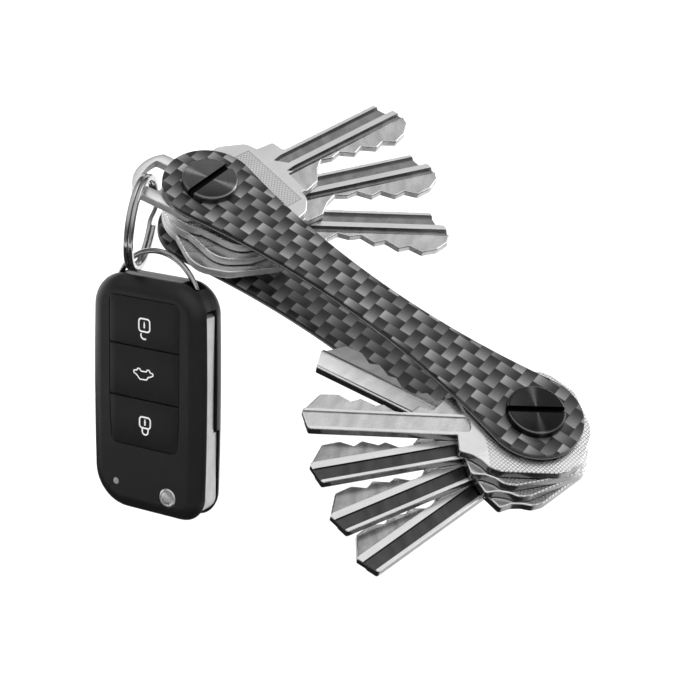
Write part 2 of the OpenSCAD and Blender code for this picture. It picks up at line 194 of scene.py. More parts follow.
def triangulated(loops, region):
    """Triangles of the plane that hold all the loops' edges, kept where region() is true."""
    verts, edges = [], []
    for loop, closed in loops:
        first = len(verts)
        verts += [Vector(p) for p in loop]
        count = len(loop)
        edges += [(first + i, first + (i + 1) % count) for i in range(count if closed else count - 1)]
    v, _, f, *_ = geometry.delaunay_2d_cdt(verts, edges, [], 0, 1e-4, False)
    v = np.array([tuple(p) for p in v], float)
    f = np.array([t for t in f if len(t) == 3], int)
    centres = v[f].mean(1)
    return v, f[region(centres)]


def rims(f):
    """The directed edges that only one triangle uses."""
    seen = {(int(t[i]), int(t[(i + 1) % 3])): True for t in f for i in range(3)}
    return [(a, b) for a, b in seen if (b, a) not in seen]


def chained(pairs):
    """Directed edges as closed loops of indices."""
    after = {}
    for a, b in pairs:
        after.setdefault(a, []).append(b)
    loops = []
    while after:
        loop, at = [], next(iter(after))
        while not loop or at != loop[0]:
            loop.append(at)
            ahead = after[at]
            if len(ahead) == 1:
                del after[at]
            at = ahead.pop()
        loops.append(loop)
    return loops


def union(outlines, holes=()):
    """The outer loops and the hole loops of overlapping outlines less the holes."""
    def region(c):
        found = np.zeros(len(c), bool)
        for o in outlines:
            found |= inside(c, o)
        for h in holes:
            found &= ~inside(c, h)
        return found

    v, f = triangulated([(o, True) for o in [*outlines, *holes]], region)
    return [[tuple(v[i]) for i in loop] for loop in chained(rims(ccw(v, f)))]


def ccw(v, f):
    """Triangles that all turn to the left."""
    a, b, c = v[f[:, 0]], v[f[:, 1]], v[f[:, 2]]
    cross = (b - a)[:, 0] * (c - a)[:, 1] - (b - a)[:, 1] * (c - a)[:, 0]
    f = f.copy()
    f[cross < 0] = f[cross < 0][:, ::-1]
    return f


# -------- meshes

def linked(name, data):
    """A new object in the scene for a mesh, a light or a camera."""
    obj = bpy.data.objects.new(name, data)
    bpy.context.scene.collection.objects.link(obj)
    return obj


def cleaned(mesh, near):
    """Joins points that are nearer than near, and turns every face outwards."""
    bm = bmesh.new()
    bm.from_mesh(mesh)
    bmesh.ops.remove_doubles(bm, verts=bm.verts, dist=near)
    bmesh.ops.recalc_face_normals(bm, faces=bm.faces)
    bm.to_mesh(mesh)
    bm.free()


def new_mesh(name, verts, faces, materials):
    mesh = bpy.data.meshes.new(name)
    mesh.from_pydata(verts, [], faces)
    for m in materials:
        mesh.materials.append(m)
    return mesh


def tube(count, n):
    """Faces of a tube of count rings with n points each, and of its two ends."""
    sides = [(k * n + i, k * n + (i + 1) % n, (k + 1) * n + (i + 1) % n, (k + 1) * n + i)
             for k in range(count - 1) for i in range(n)]
    return sides + [range(n), range((count - 1) * n, count * n)]


def keep_local(mesh, points):
    """Keeps the points' places in the piece's own frame, in mm, for its material."""
    local = mesh.attributes.new("local", "FLOAT_VECTOR", "POINT")
    local.data.foreach_set("vector", np.array(points, np.float32).ravel())


def build(name, verts, faces, place, body, materials, marks=None, smooth=30.0):
    """A piece from points in its own frame."""
    at_rest = [(place @ Vector(p)) * MM for p in verts]
    mesh = new_mesh(name, at_rest, [tuple(int(i) for i in f) for f in faces], materials)
    keep_local(mesh, verts)
    if marks is not None:
        mesh.polygons.foreach_set("material_index", np.array(marks, np.int32))
    cleaned(mesh, 1e-8)
    mesh.shade_smooth()
    mesh.set_sharp_from_angle(angle=math.radians(smooth))
    mesh.validate()
    obj = linked(name, mesh)
    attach(obj, body)
    return obj


def relief(v, features):
    """How far the surface lies below its flat at each point."""
    drop = np.zeros(len(v))
    for f in features:
        d = np.where(inside(v, f["loop"]), distance(v, f["loop"]), 0)
        drop = np.maximum(drop, f["depth"] * np.clip(d / f["wall"], 0, 1))
    return drop


def milled(loop, depth, wall, mark):
    """A milled feature: its outline, its depth, the width of its sloping wall and its material's place."""
    return {"loop": loop, "depth": depth, "wall": wall, "mark": mark}


def slab(name, loops, thick, place, body, materials, top=(), bottom=(), edge=((0, 0.14), (0.14, 0)),
         band=(), crown=None, smooth=24.0, side_mark=0, bottom_edge=None):
    """A flat piece with chamfered rims and milled features on both faces.

    loops are directed so that the material is to their left. top and bottom list milled features. edge gives
    (distance from the rim, drop) pairs. band gives (share of the height, inset) pairs of lines round the side.
    crown gives extra lines for the triangles and a function of the points that raises the top.
    """
    bottom_edge = bottom_edge or edge
    lines = [(loop, True) for loop in loops]
    for d, _ in edge[1:]:
        lines += [(inset(loop, d), True) for loop in loops]
    for f in [*top, *bottom]:
        lines.append((f["loop"], True))
        lines.append((inset(facing(f["loop"], 1), f["wall"]), True))
    if crown:
        lines += crown["lines"]

    def region(c):
        count = np.zeros(len(c), int)
        for loop in loops:
            count += np.where(inside(c, loop), 1 if area(loop) > 0 else -1, 0)
        return count > 0

    v, f = triangulated(lines, region)
    f = ccw(v, f)
    used, places = np.unique(f, return_inverse=True)
    v, f = v[used], places.reshape(f.shape)
    d = np.min([distance(v, loop) for loop in loops], axis=0)
    z_top = thick - np.interp(d, *zip(*edge)) - relief(v, top)
    if crown:
        z_top += crown["height"](v)
    z_low = np.interp(d, *zip(*bottom_edge)) + relief(v, bottom)
    n = len(v)
    verts = [(*point, z) for heights in (z_top, z_low) for point, z in zip(v, heights)]
    faces = [tuple(t) for t in f] + [tuple(t[::-1] + n) for t in f]
    centres = v[f].mean(1)
    marks = []
    for features in (top, bottom):
        mark = np.zeros(len(f), int)
        for feature in features:
            mark[inside(centres, feature["loop"])] = feature["mark"]
        marks += mark.tolist()
    for loop in chained(rims(f)):
        levels = [loop]
        points = [tuple(v[i]) for i in loop]
        for share, depth in band:
            moved = inset(points, depth) if depth else points
            first = len(verts)
            verts += [(p[0], p[1], z_low[i] + share * (z_top[i] - z_low[i])) for p, i in zip(moved, loop)]
            levels.append(range(first, first + len(loop)))
        levels.append([i + n for i in loop])
        for upper, lower in zip(levels, levels[1:]):
            for k in range(len(loop)):
                m = (k + 1) % len(loop)
                faces.append((upper[m], upper[k], lower[k], lower[m]))
                marks.append(side_mark)
    return build(name, verts, faces, place, body, materials, marks, smooth)


def lathe(name, profile, place, body, materials, steps):
    """A closed profile of (radius, height) points turned about Z."""
    verts, faces, rings = [], [], []
    for r, z in profile:
        if r < 1e-6:
            rings.append([len(verts)] * steps)
            verts.append((0, 0, z))
        else:
            rings.append(list(range(len(verts), len(verts) + steps)))
            verts += [(r * math.cos(2 * math.pi * k / steps), r * math.sin(2 * math.pi * k / steps), z)
                      for k in range(steps)]
    for lower, upper in zip(rings, rings[1:] + (rings[:1] if profile[0][0] > 1e-6 else [])):
        for k in range(steps):
            m = (k + 1) % steps
            quad = [lower[k], lower[m], upper[m], upper[k]]
            quad = [q for i, q in enumerate(quad) if q not in quad[:i]]
            if len(quad) > 2:
                faces.append(tuple(quad))
    return build(name, verts, faces, place, body, materials)


def swept(name, path, section, frames, place, body, materials, smooth=40.0):
    """A section carried along an open path. frames gives the section's two axes at each point."""
    verts = [tuple(Vector(p) + u * a + w * b) for p, (u, w) in zip(path, frames) for a, b in section]
    return build(name, verts, tube(len(path), len(section)), place, body, materials, None, smooth)


def stand_for(obj, slot, *nodes):
    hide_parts(*nodes)


# -------- materials

class Shader:
    """A material's node tree, with short ways to add nodes."""

    def __init__(self, name, **values):
        self.material = bpy.data.materials.new(name)
        self.material.use_nodes = True
        self.tree = self.material.node_tree
        self.bsdf = self.tree.nodes["Principled BSDF"]
        for key, value in values.items():
            self.bsdf.inputs[key.replace("_", " ")].default_value = value

    def node(self, kind, *inputs, **settings):
        made = self.tree.nodes.new(kind)
        for key, value in settings.items():
            setattr(made, key, value)
        for i, value in enumerate(inputs):
            self.feed(made.inputs[i], value)
        return made

    def feed(self, socket, value):
        if value is None:
            return
        if hasattr(value, "links"):
            self.tree.links.new(value, socket)
        else:
            socket.default_value = value

    def maths(self, operation, a, b=None, c=None):
        return self.node("ShaderNodeMath", a, b, c, operation=operation).outputs[0]

    def times(self, a, b):
        return self.maths("MULTIPLY", a, b)

    def plus(self, a, b):
        return self.maths("ADD", a, b)

    def less(self, a, b):
        return self.maths("SUBTRACT", a, b)

    def local(self):
        return self.node("ShaderNodeAttribute", attribute_name="local").outputs["Vector"]

    def cad_local(self):
        """The place in the CAD frame, in mm, for nodes that stay as CAD."""
        return self.scaled(self.node("ShaderNodeTexCoord").outputs["Object"], (1000, 1000, 1000))

    def scaled(self, vector, scale):
        return self.node("ShaderNodeMapping", vector, None, None, scale).outputs[0]

    def turned(self, vector, degrees):
        return self.node("ShaderNodeMapping", vector, None, (0, 0, math.radians(degrees))).outputs[0]

    def split(self, vector):
        return self.node("ShaderNodeSeparateXYZ", vector).outputs

    def join(self, x, y, z=0.0):
        return self.node("ShaderNodeCombineXYZ", x, y, z).outputs[0]

    def noise(self, vector, scale, detail=3.0, rough=0.5):
        made = self.node("ShaderNodeTexNoise", vector)
        made.inputs["Scale"].default_value = scale
        made.inputs["Detail"].default_value = detail
        made.inputs["Roughness"].default_value = rough
        return made.outputs[0]

    def spread(self, value, low, high, new_low, new_high):
        return self.node("ShaderNodeMapRange", value, low, high, new_low, new_high).outputs[0]

    def mix(self, share, a, b):
        made = self.node("ShaderNodeMix", data_type="RGBA")
        self.feed(made.inputs[0], share)
        self.feed(made.inputs[6], a)
        self.feed(made.inputs[7], b)
        return made.outputs[2]

    def tone(self, value):
        """A grey colour from a number."""
        return self.node("ShaderNodeCombineColor", value, value, value).outputs[0]

    def shade(self, value):
        """Makes the surface grey by this much."""
        self.set("Base Color", self.tone(value))

    def mottle(self, cloud, low, high, rough_low, rough_high):
        """Varies the grey and the roughness together."""
        self.shade(self.spread(cloud, 0.3, 0.7, low, high))
        self.set("Roughness", self.spread(cloud, 0.3, 0.7, rough_low, rough_high))

    def bump(self, height, distance, strength=1.0):
        made = self.node("ShaderNodeBump")
        made.inputs["Strength"].default_value = strength
        made.inputs["Distance"].default_value = distance
        self.feed(made.inputs["Height"], height)
        self.feed(self.bsdf.inputs["Normal"], made.outputs[0])

    def set(self, name, value):
        self.feed(self.bsdf.inputs[name], value)


def grey(v):
    return (v, v, v, 1.0)


def metal(name, base, rough, streak=(1, 1, 1), streak_scale=1.0, mottle=0.08, varied=0.04, polish=1.0):
    """Bare metal with fine directional marks and an uneven tone. A polish below 1 leaves it satin."""
    s = Shader(name, Metallic=polish)
    local = s.local()
    marks = s.noise(s.scaled(local, streak), streak_scale, 2.0, 0.5)
    cloud = s.noise(s.scaled(s.turned(local, 24), (1, 0.35, 1)), 0.5, 2.0)
    s.set("Roughness", s.plus(s.spread(marks, 0.2, 0.8, rough - varied, rough + varied), s.times(cloud, 0.06)))
    s.shade(s.times(s.spread(marks, 0.2, 0.8, base * 0.93, base * 1.05),
                    s.spread(cloud, 0.35, 0.65, 1.0 - mottle, 1.0 + 0.7 * mottle)))
    s.bump(marks, 0.001 * MM)
    return s.material


def knurled(name, base, rough, planes, pitch, contrast, outlined):
    """Key blank metal with a diamond knurl where a*x + b*y > c for every (a, b, c) in planes."""
    s = Shader(name, Metallic=1.0)
    local = s.local()
    x, y, _ = s.split(local)
    cloud = s.noise(s.scaled(local, (0.5, 1, 1)), 0.3, 2.0)
    near = None
    for a, b, c in planes:
        side = s.less(s.plus(s.times(x, a), s.times(y, b)), c)
        near = side if near is None else s.maths("MINIMUM", near, side)
    mask = s.spread(near, 0.0, 0.12, 0.0, 1.0)
    first = s.maths("PINGPONG", s.plus(x, y), pitch)
    second = s.maths("PINGPONG", s.less(x, y), pitch)
    diamonds = s.spread(s.maths("MINIMUM", first, second), 0.0, pitch * 0.5, 0.0, 1.0)
    cut = s.times(mask, s.less(1.0, diamonds))
    if outlined:
        line = s.spread(s.maths("ABSOLUTE", near), 0.05, 0.16, 1.0, 0.0)
        cut = s.maths("MAXIMUM", cut, line)
    s.set("Roughness", s.spread(cloud, 0.3, 0.7, rough - 0.03, rough + 0.05))
    tone = s.spread(cloud, 0.3, 0.7, base * 0.94, base * 1.06)
    s.shade(s.times(tone, s.spread(cut, 0.0, 1.0, 1.0, contrast)))
    s.bump(s.less(1.0, cut), 0.018 * MM)
    return s.material


def woven(name):
    """A 2/2 twill of flat carbon tows under clear resin. Each tow has a painted highlight: its colour is
    lighter at one end of its float.
    """
    turn, pitch_x, pitch_y, shift = 3.91, 2.421, 2.25, (-0.054, 0.324)
    s = Shader(name, Roughness=0.36, Specular_IOR_Level=0.3, Coat_Weight=0.35, Coat_Roughness=0.1, Coat_IOR=1.5)
    local = s.local()
    x, y, _ = s.split(s.turned(local, -turn))
    u = s.plus(s.maths("DIVIDE", x, pitch_x), 100.0 + shift[0])
    v = s.plus(s.maths("DIVIDE", y, pitch_y), 100.0 + shift[1])
    i, j = s.maths("FLOOR", u), s.maths("FLOOR", v)
    fu, fv = s.maths("FRACT", u), s.maths("FRACT", v)
    step = s.maths("FLOORED_MODULO", s.plus(s.plus(i, j), 3.0), 4.0)
    lying = s.maths("LESS_THAN", step, 1.5)
    standing = s.less(1.0, lying)
    upper = s.less(step, 2.0)

    def pick(a, b):
        """a on the tows along X, b on the others."""
        return s.plus(s.times(lying, a), s.times(standing, b))

    along = s.times(pick(s.plus(fu, step), s.plus(fv, upper)), 0.5)
    across = pick(fv, fu)
    block_u = s.less(i, s.times(lying, step))
    block_v = s.less(j, s.times(standing, upper))
    chance = s.node("ShaderNodeTexWhiteNoise", s.join(block_u, block_v, 0.5)).outputs[0]
    fibres = pick(s.noise(s.scaled(local, (0.6, 15, 1)), 1.0, 3.0, 0.65),
                  s.noise(s.scaled(local, (15, 0.6, 1)), 1.0, 3.0, 0.65))
    strands = s.spread(fibres, 0.3, 0.7, 0.82, 1.16)
    end = s.maths("MINIMUM", along, s.less(1.0, along))
    side = s.maths("MINIMUM", across, s.less(1.0, across))
    seam = s.times(s.spread(end, 0.0, 0.03, 0.4, 1.0), s.spread(side, 0.0, 0.05, 0.5, 1.0))
    # painted highlight: each tow's colour grows lighter towards one end of its float, in place of the light on
    # its curve
    painted_sheen = s.maths("POWER", s.less(1.0, along), 1.9)
    tone = s.maths("MULTIPLY_ADD", painted_sheen, s.spread(chance, 0.0, 1.0, 0.1, 0.28), 0.003)
    s.shade(s.times(tone, s.times(strands, seam)))
    crest = s.maths("SINE", s.times(along, math.pi))
    back = s.maths("POWER", s.maths("SINE", s.times(across, math.pi)), 0.5)
    height = s.plus(s.times(crest, 0.5), back)
    s.bump(s.plus(height, s.times(strands, 0.12)), 0.022 * MM)
    return s.material


def laminate(name):
    """The cut side of the laminate: thin plies in dark resin, with one pale line painted along it as a
    highlight.
    """
    painted_line_height = 0.5
    s = Shader(name, Specular_IOR_Level=0.5, Coat_Weight=0.4, Coat_Roughness=0.12)
    local = s.local()
    plies = s.noise(s.scaled(local, (0.3, 0.3, 9)), 1.0, 3.0, 0.6)
    z = s.split(local)[2]
    off = s.maths("ABSOLUTE", s.less(z, painted_line_height))
    # painted highlight: a pale line along the cut side at one height
    line = s.spread(off, 0.04, 0.11, 1.0, 0.0)
    dark = s.spread(plies, 0.35, 0.65, 0.004, 0.022)
    s.shade(s.maths("MULTIPLY_ADD", line, 0.3, dark))
    s.set("Roughness", s.spread(plies, 0.3, 0.7, 0.28, 0.45))
    s.bump(plies, 0.015 * MM)
    return s.material


def spun(name, base, wedge, glint, rim):
    """Dark steel turned on a lathe about the frame's Z axis. Its face carries painted highlights: a pale wedge
    and a pale rim.
    """
    rough = 0.28
    s = Shader(name, Metallic=1.0, Anisotropic=0.75)
    local = s.local()
    x, y, z = s.split(local)
    radius = s.maths("SQRT", s.plus(s.times(x, x), s.times(y, y)))
    rings = s.noise(s.join(s.times(radius, 14.0), s.times(z, 3.0)), 1.0, 2.0, 0.7)
    cloud = s.noise(local, 0.5, 2.0)
    lean = math.radians(wedge)
    along = s.plus(s.times(x, math.cos(lean)), s.times(y, math.sin(lean)))
    share = s.maths("ABSOLUTE", s.maths("DIVIDE", along, s.maths("MAXIMUM", radius, 0.01)))
    # painted highlight: the colour is lighter in a thin ring just inside the head's rim
    edge = s.spread(s.maths("ABSOLUTE", s.less(radius, HEAD_R - 0.2)), 0.05, 0.15, rim, 0.0)
    # painted highlight: a narrow pale wedge across the face along the given angle, lighter by glint, in place
    # of the light's glint on the spun steel
    painted_glint = s.maths("MULTIPLY_ADD", s.maths("POWER", share, 90.0), glint, s.plus(edge, 1.0))
    tangent = s.join(s.times(y, -1.0), x)
    s.set("Tangent", s.node("ShaderNodeVectorMath", tangent, operation="NORMALIZE").outputs[0])
    s.shade(s.times(painted_glint, s.spread(rings, 0.3, 0.7, base * 0.8, base * 1.25)))
    s.set("Roughness", s.plus(s.spread(rings, 0.3, 0.7, rough - 0.04, rough + 0.05), s.times(cloud, 0.06)))
    s.bump(rings, 0.004 * MM)
    return s.material


def moulded(name, base, rough, grain, depth, shine):
    """Moulded plastic or rubber with a fine eroded grain."""
    s = Shader(name, Specular_IOR_Level=shine)
    local = s.local()
    fine = s.noise(local, grain, 3.0, 0.6)
    cloud = s.noise(local, 0.12, 2.0)
    s.shade(s.spread(cloud, 0.3, 0.7, base * 0.85, base * 1.15))
    s.set("Roughness", s.plus(s.spread(fine, 0.3, 0.7, rough - 0.04, rough + 0.04), s.times(cloud, 0.05)))
    s.bump(fine, depth * MM)
    return s.material


def uneven(name, scale, tones, roughs, **values):
    """A plain material that varies a little between two greys and two roughnesses."""
    s = Shader(name, **values)
    s.mottle(s.noise(s.local(), scale, 2.0), *tones, *roughs)
    return s.material


CARBON = woven("carbon_weave")
LAMINATE = laminate("laminate_side")
# The left screw and the posts take the first copy. The right screw's copy is the same steel made darker,
# painted shade, with a stronger painted rim highlight.
SPUN = spun("black_spun_steel", 0.115, 18.6, 2.0, 1.2)
SHADED_SPUN = spun("spun_steel_painted_shade", 0.024, -43.3, 3.4, 8.0)
SLOT_STEEL = metal("black_slot_steel", 0.008, 0.45, (1, 6, 1))
POST_STEEL = metal("post_steel", 0.42, 0.3, (1, 1, 8))
TAB_STEEL = metal("tab_steel", 0.92, 0.3, (0.5, 5, 1), 1.2)
# Two copies of one key side metal: a darker one for the right keys, painted shade, and a lighter satin one for
# the left keys, a satin finish with painted light.
SHADE_SIDE = metal("side_painted_shade", 0.24, 0.2, (0.6, 0.6, 7), 1.0, 0.16)
SATIN_LIT_SIDE = metal("satin_side_painted_lit", 0.5, 0.3, (0.6, 0.6, 7), 1.0, 0.16, polish=0.6)
MILLED = metal("milled_channel", 0.32, 0.26, (0.35, 6, 1), 1.3, 0.15)
# Lighter and darker copies of one channel metal and one land metal: the lighter copies are painted light for
# the top right key, the darker ones painted shade for keys 2 to 4.
LIT_CHANNEL = metal("channel_painted_lit", 0.7, 0.24, (0.5, 3, 1), 1.2, 0.14)
SHADE_CHANNEL = metal("channel_painted_shade", 0.085, 0.28, (0.35, 3, 1), 1.1, 0.2)
SHADE_LAND = metal("land_painted_shade", 0.46, 0.22, (0.6, 3, 1), 1.1, 0.25)
LIT_LAND = metal("land_painted_lit", 0.66, 0.24, (0.6, 3, 1), 1.1, 0.16)
# Satin copies for key 5, which lies in the plates' shade: a satin finish, made lighter as painted light. The
# tab's sides take the land copy too.
SATIN_LIT_LAND = metal("satin_land_painted_lit", 0.42, 0.4, (0.6, 3, 1), 1.1, 0.12, polish=0.4)
SATIN_LIT_CHANNEL = metal("satin_channel_painted_lit", 0.72, 0.4, (0.5, 3, 1), 1.2, 0.1, polish=0.3)
CHROME = metal("chrome_wire", 0.46, 0.12, (0.4, 0.4, 3), 1.5, 0.05, 0.02)
BUTTON_CHROME = metal("button_chrome", 0.85, 0.3, (1, 1, 3), 1.5)
BLADE = metal("blade_steel", 0.5, 0.34, (5, 1, 0.4), 1.2)
CASE = moulded("case_plastic", 0.008, 0.38, 9.0, 0.006, 0.38)
INNER = moulded("inner_plastic", 0.004, 0.6, 7.0, 0.01, 0.25)
RUBBER = moulded("button_rubber", 0.0085, 0.46, 11.0, 0.006, 0.28)
INK = uneven("white_ink", 3.0, (0.86, 0.95), (0.35, 0.5))
CLEAR = uneven("led_lens", 4.0, (0.3, 0.42), (0.25, 0.4), Transmission_Weight=0.25, IOR=1.45, Coat_Weight=0.4,
               Coat_Roughness=0.1)


# -------- plates

def plate_outline():
    """Two round ends joined by two sides that curve inwards."""
    end_r, waist = 9.6, 4.8
    side_r = (POST_X ** 2 + waist ** 2 - end_r ** 2) / (2 * (end_r - waist))
    reach = POST_X * side_r / (side_r + end_r)
    lean = math.degrees(math.acos(reach / side_r))
    sides = (arc(POST_X, 0, end_r, lean - 180, 180 - lean, 5),
             arc(0, waist + side_r, side_r, 360 - lean, 180 + lean, 0.9),
             arc(-POST_X, 0, end_r, lean, 360 - lean, 5),
             arc(0, -waist - side_r, side_r, 180 - lean, lean, 0.9))
    return [point for side in sides for point in side[:-1]]


def plate(name, low):
    holes = [facing(circle(x, 0, SCREW_BORE_R, 8), -1) for x in (-POST_X, POST_X)]
    obj = slab(name, [facing(plate_outline(), 1), *holes], PLATE_T, Matrix.Translation((0, 0, low)), "root",
               [CARBON, LAMINATE], edge=((0, 0.22), (0.07, 0.07), (0.22, 0)), side_mark=1,
               band=((0.62, 0), (0.56, 0.1), (0.46, 0.1), (0.4, 0)))
    stand_for(obj, "carbon", name)


plate("top_plate", PLATE_LOW)
plate("bottom_plate", -PLATE_LOW - PLATE_T)


# -------- screws, posts, spacer

def screw_slot(turn):
    """A straight screwdriver slot right across a head."""
    reach, half = HEAD_R + 1, 0.7
    c, s = math.cos(math.radians(turn)), math.sin(math.radians(turn))
    box = rectangle(-reach, -half, reach, half)
    return milled([(x * c - y * s, x * s + y * c) for x, y in box], 0.9, 0.07, 1)


def screw(name, x, turn, face):
    head = [facing(circle(0, 0, HEAD_R, 4), 1)]
    rim = ((0, 0.5), (0.06, 0.3), (0.2, 0.12), (0.42, 0.0), (0.56, 0.0), (0.66, 0.05))
    obj = slab(name, head, HEAD_T, Matrix.Translation((x, 0, PLATE_LOW + PLATE_T)), "root", [face, SLOT_STEEL],
               top=[screw_slot(turn)], edge=rim, bottom_edge=((0, 0.1), (0.1, 0)), smooth=34)
    shank = lathe(name + "_shank", [(0, -7.4), (1.2, -7.4), (1.5, -7.1), (1.5, 7.4), (0, 7.4)],
                  Matrix.Translation((x, 0, 0)), "root", [SLOT_STEEL], 40)
    stand_for(obj, "black_steel", name)


screw("left_screw", -POST_X, 88.6, SPUN)
screw("right_screw", POST_X, 43.3, SHADED_SPUN)

POST_PROFILE = [(1.55, -8.3), (1.75, -9.0), (5.2, -9.0), (5.45, -8.93), (5.65, -8.72), (5.7, -8.5),
                (5.7, -7.5), (5.6, -7.4), (2.5, -7.4), (2.5, 7.2), (2.4, 7.3), (1.65, 7.3), (1.55, 7.2)]
for side, x in (("left", -POST_X), ("right", POST_X)):
    post = lathe(side + "_post", POST_PROFILE, Matrix.Translation((x, 0, 0)), "root", [SPUN], 72)
    stand_for(post, "black_steel", side + "_post")
SPACER_PROFILE = [(2.6, 0.15), (2.75, 0), (6.2, 0), (6.4, 0.2), (6.4, 1.8), (6.2, 2), (2.75, 2), (2.6, 1.85)]
spacer = lathe("left_spacer", SPACER_PROFILE,
               Matrix.Translation((-POST_X, 0, node_low("left_spacer"))), "root", [POST_STEEL], 72)
stand_for(spacer, "steel", "left_spacer")


# -------- loop tab

def loop_tab():
    low, high, left, corner, bar = -8.75, 3.6, -15.1, -12.6, 2.6
    mid, half, bulge = (low + high) / 2, (high - low) / 2, corner - left
    r = (half * half + bulge * bulge) / (2 * bulge)
    lean = math.degrees(math.asin(half / r))
    body = arc(left + r, mid, r, 180 - lean, 180 + lean, 3) + [(0, low), (4.5, low + 4.2), (4.5, high)]
    radii = [0] * len(body)
    radii[0] = radii[len(body) - 4] = 0.5
    slot_low, slot_high = low + bar, high - bar + 0.1
    centre = (slot_low + slot_high) / 2
    reach = math.degrees(math.asin((slot_high - slot_low) / 2 / 9))
    opening = [(-8.2, slot_low), (-8.2, slot_high)] + arc(-13.55 + 9, centre, 9, 180 - reach, 180 + reach, 4)
    opening = rounded(opening, [0.5, 0.5, 0.5] + [0] * (len(opening) - 4) + [0.5])
    outer = union([facing(rounded(body, radii), 1), circle(0, 0, 6.4, 5)],
                  [circle(0, 0, BORE_R, 8), opening])
    # the tab's sides take the satin land copy, painted light
    obj = slab("loop_tab", outer, KEY_T, TAB, "tab", [TAB_STEEL, SATIN_LIT_LAND],
               edge=((0, 0.2), (0.06, 0.06), (0.2, 0)), side_mark=1)
    stand_for(obj, "steel", "loop_tab")


loop_tab()


# -------- keys

def right_outline():
    bow = [(15, 4), (15, 7.9), (12.6, 8.6), (10.9, 9.8), (9.6, 11.4), (7.4, 12.2), (-4.4, 12.2), (-8.4, 9.6),
           (-11.5, 2), (-9.3, -7.2), (-3.9, -11.8), (6.5, -12), (11.5, -8.2), (14.2, -5), (14.2, 0)]
    bow_radii = [0, 0.7, 2.5, 3, 2.5, 2.5, 4, 5, 6, 5, 5, 4, 2, 1.2, 0]
    blade = [(9, 4.2), (42.9, 4.2), (44, -0.1), (40.4, -4.3), (36.9, -4.4),
             (34.5, -2.9), (32.7, -3.7), (29.9, -2.2), (28.4, -2.6), (25.6, -0.5), (23.6, -0.9),
             (21.6, -2.6), (19.2, -1.7), (16.4, -4.6), (13, -6.2), (9, -6.2)]
    soft = [0, 0.5, 0.5] + [0.4] * 11 + [1.5, 0]
    return union([rounded(bow, bow_radii), rounded(blade, soft)], [circle(0, 0, BORE_R, 8)])


def left_outline():
    bow = [(-3.2, -14.6), (4, -16.2), (14.6, -14.2), (17.4, -11.2), (18, 4), (16.4, 8), (11, 10.4), (4, 10),
           *arc(0, 0, 9, 110, 225, 6)]
    blade = [(12, 5.8), (21.5, 5.2), (22, 2.2), (47.6, 2.2), (48.6, -0.6), (50.2, -1.4), (51, -3.9),
             (50.4, -5.8), (48, -7.8), (44.6, -8.7), (42.2, -7.1), (39.8, -7.8), (37.2, -5.7),
             (34.8, -6.5), (32.2, -4.4), (29.8, -4.9), (27.3, -4.1), (24.8, -5.8), (22.6, -8.5),
             (19, -9.4), (12, -9.4)]
    soft = [0, 0.6, 1, 0.5, 0.3, 0.5, 0.6, 0.5, 0.6] + [0.4] * 10 + [1, 0]
    return union([rounded(bow, [6, 7, 2.5, 2.5, 1.6, 2, 2.5, 2] + [0] * (len(bow) - 8)), rounded(blade, soft)],
                 [circle(0, 0, BORE_R, 8)])


RIGHT_LOOPS, LEFT_LOOPS = right_outline(), left_outline()

# the land along the bitting is milled down from a pointed start
RIGHT_LAND = milled([(12.6, -0.45), (16, -9), (50, -9), (50, -0.45)], 0.55, 0.3, 1)


def right_channel(low, start):
    """The shallow channel between the ridge and the spine."""
    return milled(rounded(rectangle(start, low, 50, 3.6), [1.2, 0, 0, 1.2]), 0.3, 0.18, 2)


RIGHT_LOW = [milled([(15.5, 0.8), (17.5, -0.2), (55, -0.2), (55, 2), (17.5, 2)], 0.3, 0.2, 2)]
LEFT_TOP = [
    milled([(18.2, 0.9), (20.4, 1.35), (60, 1.35), (60, -1.35), (20.4, -1.35)], 0.7, 0.35, 2),
    milled([(18.6, -2.9), (21, -2.6), (60, -2.6), (60, -4), (20, -4)], 0.7, 0.25, 2),
    milled([(18.4, -3.8), (18.4, -12), (60, -12), (60, -3.8)], 0.45, 0.2, 1),
]
LEFT_LOW = [milled([(19, -3.6), (60, -3.6), (60, -1.7), (19, -1.7)], 0.6, 0.25, 2)]
KEY_RIM = ((0, 0.24), (0.08, 0.08), (0.24, 0))

RIGHT_FACE = knurled("right_key_face", 0.88, 0.25, [(-1.0, -0.03, -9.9)], 0.43, 0.5, False)
LEFT_FACE = knurled("left_key_face", 0.84, 0.27, [(-1.0, -0.03, -15.7), (0.0, 1.0, -10.8), (0.0, -1.0, -6.0)],
                    0.42, 0.62, True)


def key(node, x, turn, loops, metals, top, bottom):
    place = placed((x, 0, node_low(node)), (0, 0, turn))
    obj = slab(node, loops, KEY_T, place, node, metals, top=top, bottom=bottom,
               edge=KEY_RIM, side_mark=3, smooth=20)
    stand_for(obj, "key_nickel", node)


LEFT_METALS = [LEFT_FACE, LIT_LAND, MILLED, SATIN_LIT_SIDE]
for i, turn in enumerate((79.7, 62.5, 44.3), 1):
    key(f"key_left_{i}", -POST_X, turn, LEFT_LOOPS, LEFT_METALS, LEFT_TOP, LEFT_LOW)
for i, turn in enumerate((222.1, 236.3, 249.6, 261.3, 192.2), 1):
    wide = i in (1, 5)
    # key 1 takes the copies painted light, keys 2 to 4 those painted shade, and key 5 the satin copies painted
    # light
    channel, land = {1: (LIT_CHANNEL, LIT_LAND), 5: (SATIN_LIT_CHANNEL, SATIN_LIT_LAND)}.get(i, (SHADE_CHANNEL, SHADE_LAND))
    top = [RIGHT_LAND, right_channel(0.1, 12.2) if wide else right_channel(0.95, 14.6)]
    key(f"key_right_{i}", POST_X, turn, RIGHT_LOOPS, [RIGHT_FACE, land, channel, SHADE_SIDE], top, RIGHT_LOW)


# -------- split ring and bail

